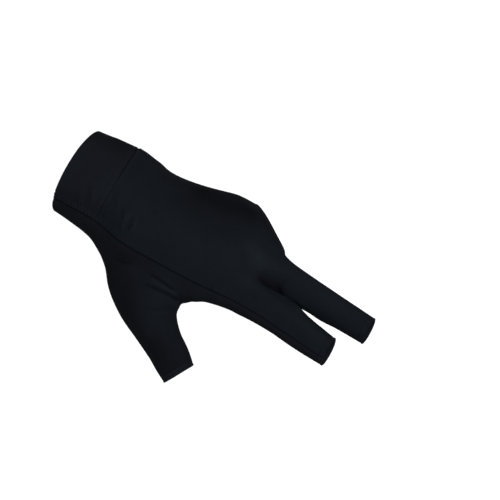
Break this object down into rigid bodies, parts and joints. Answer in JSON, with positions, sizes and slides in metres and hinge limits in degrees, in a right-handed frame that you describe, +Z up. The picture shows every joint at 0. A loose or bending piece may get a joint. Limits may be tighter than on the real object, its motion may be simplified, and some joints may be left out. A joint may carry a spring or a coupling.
{
  "type": "billiard glove",
  "caption": "Stretch cloth glove for the left hand that covers thumb, index and middle finger and leaves the ring and little fingers bare",
  "frame": {"origin": "the middle of the wrist opening, where the hand goes in", "axes": "+X towards the fingertips, +Y towards the little finger's side with the thumb at -Y, +Z up out of the back of the hand"},
  "size_m": [0.214, 0.1228, 0.0582],
  "materials": {
    "panel_cloth": "near-black fine stretch knit with a soft sheen",
    "palm_cloth": "near-black fine stretch knit",
    "cuff_cloth": "near-black stretch knit, folded double",
    "hem_cloth": "near-black knit turned over and sewn down"
  },
  "bodies": {
    "root": {"back_panel": "panel_cloth", "palm_panel": "palm_cloth", "thumb_panel": "palm_cloth", "cuff_band": "cuff_cloth", "thumb_hem": "hem_cloth", "index_hem": "hem_cloth", "middle_hem": "hem_cloth", "opening_hem": "hem_cloth"}
  },
  "joints": []
}
